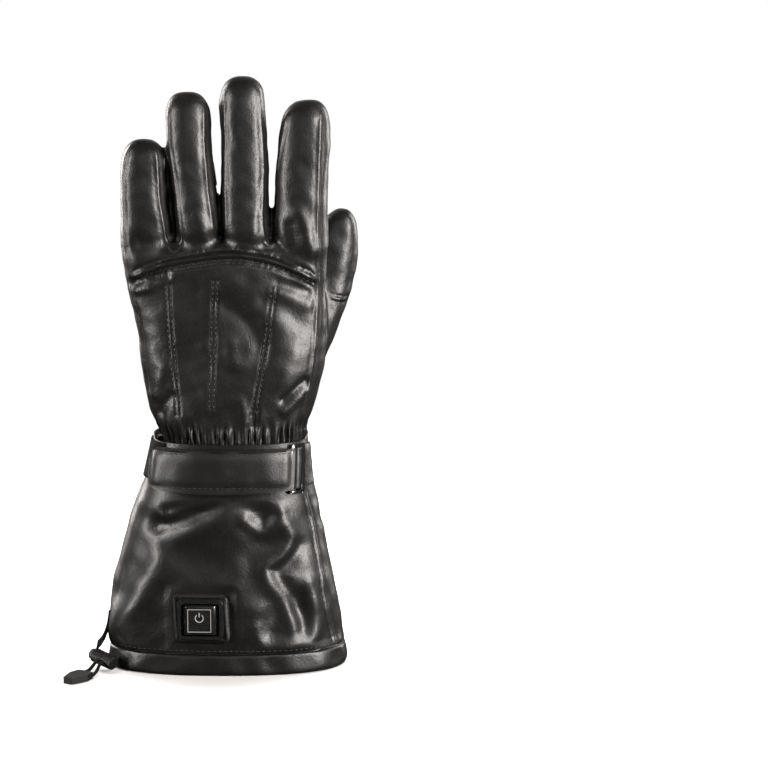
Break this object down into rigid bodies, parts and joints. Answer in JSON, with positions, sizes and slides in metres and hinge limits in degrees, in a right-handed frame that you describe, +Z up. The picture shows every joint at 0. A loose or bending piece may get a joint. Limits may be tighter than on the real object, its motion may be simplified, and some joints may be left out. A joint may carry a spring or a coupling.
{
  "type": "heated glove",
  "caption": "Left-hand heated leather glove with a gauntlet cuff, wrist strap, power button, zipped battery pocket and hem drawcord, standing on its hem.",
  "frame": {"origin": "on the floor under the middle of the glove's bounding box, without the drawcord set", "axes": "+Z up along the fingers, +X to the thumb, -Y out of the back of the hand, +Y out of the palm"},
  "size_m": [0.1659, 0.0931, 0.3393],
  "materials": {
    "leather": "glossy pebbled black leather",
    "gusset_leather": "softer black leather of the side panels and fourchettes",
    "suede": "matte black suede",
    "webbing": "black woven tape and hook-and-loop pile",
    "elastic": "round braided black elastic",
    "plastic": "glossy black moulded plastic",
    "rubber": "satin black moulded rubber",
    "zip_metal": "gunmetal lacquer"
  },
  "bodies": {
    "glove": {"back_panel": "leather", "palm_panel": "leather", "little_side_panel": "gusset_leather", "fourchette_little_ring": "gusset_leather", "fourchette_ring_middle": "gusset_leather", "fourchette_middle_index": "gusset_leather", "thumb_side_panel": "gusset_leather", "thumb_inner_panel": "leather", "thumb_outer_panel": "leather", "knuckle_welt": "leather", "suede_patch": "suede", "index_patch": "leather", "cuff_back_panel": "leather", "cuff_palm_panel": "leather", "hem_band": "leather", "cuff_piping": "leather", "strap_backing": "webbing", "strap_ring": "plastic", "wrist_strap": "leather", "strap_tab": "leather", "button_pad": "leather", "button_bezel": "plastic", "zip_tape": "webbing", "zip_slider": "zip_metal", "zip_teeth": "zip_metal", "connector_patch": "rubber", "connector_hood": "rubber", "drawcord": "elastic", "cord_lock": "plastic", "cord_tag": "rubber", "cord_strip": "webbing"},
    "zip_pull": {"zip_pull": "zip_metal"},
    "power_button": {"power_button": "plastic"},
    "lock_plunger": {"lock_plunger": "rubber"}
  },
  "joints": [
    {"name": "zip_pull_swing", "type": "hinge", "parent": "glove", "child": "zip_pull", "pos_m": [0.03355, 0.03705, 0.036], "axis": [0, 0, 1], "range_deg": [0, 170]},
    {"name": "power_button_press", "type": "slide", "parent": "glove", "child": "power_button", "axis": [0.0338, 0.9994, 0], "range_m": [0, 0.0008], "stiffness_N_per_m": 800},
    {"name": "lock_plunger_press", "type": "slide", "parent": "glove", "child": "lock_plunger", "axis": [0.8123, -0.5415, -0.2166], "range_m": [0, 0.0018], "stiffness_N_per_m": 400}
  ]
}
